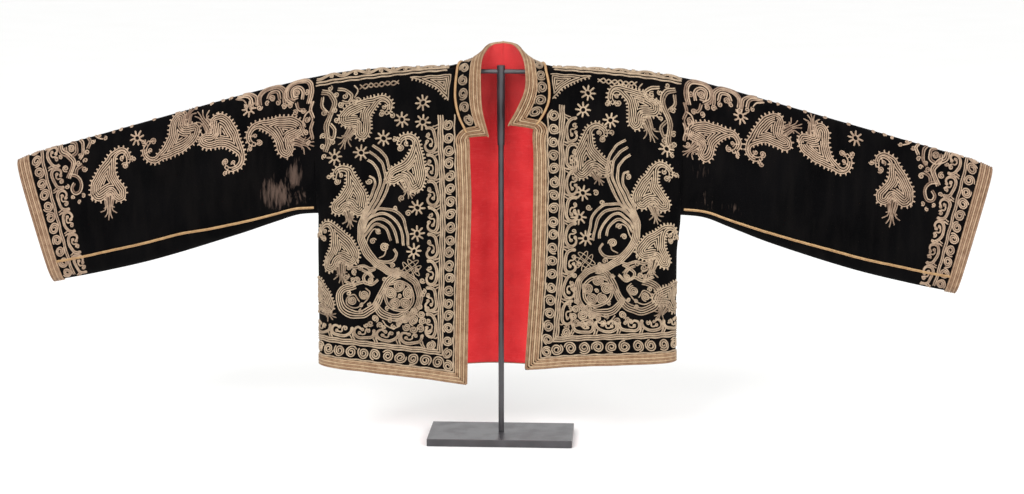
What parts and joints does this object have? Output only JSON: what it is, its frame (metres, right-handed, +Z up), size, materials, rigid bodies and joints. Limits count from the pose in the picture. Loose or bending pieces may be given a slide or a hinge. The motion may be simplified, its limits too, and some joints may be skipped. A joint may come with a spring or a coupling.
{
  "type": "sleeved vest on display stand",
  "caption": "Short open-front velvet jacket with long straight sleeves, notched stand collar and corded edges, worn by a T-shaped steel display stand.",
  "frame": {"origin": "centre of the underside of the base plate, in the line of the post", "axes": "+Z up the post, +X along the crossbar to the right of a viewer in front of the jacket, -Y out of the jacket's front"},
  "size_m": [1.4282, 0.108, 0.5901],
  "materials": {
    "velvet": "matt black cotton velvet",
    "lining": "plain woven red cotton",
    "braid": "tarnished gilt cord, satin",
    "steel": "satin black powder coat"
  },
  "bodies": {
    "root": {"back": "velvet", "front_left": "velvet", "front_right": "velvet", "sleeve_left": "velvet", "sleeve_right": "velvet", "collar": "velvet", "lining_back": "lining", "collar_lining": "lining", "braid_front_left": "braid", "braid_front_right": "braid", "braid_hem_back": "braid", "braid_collar": "braid", "braid_cuff_left": "braid", "braid_cuff_right": "braid", "seam_cord_left": "braid", "seam_cord_right": "braid", "neck_cord": "braid", "stand_base": "steel", "stand_post": "steel", "stand_head": "steel"}
  },
  "joints": []
}
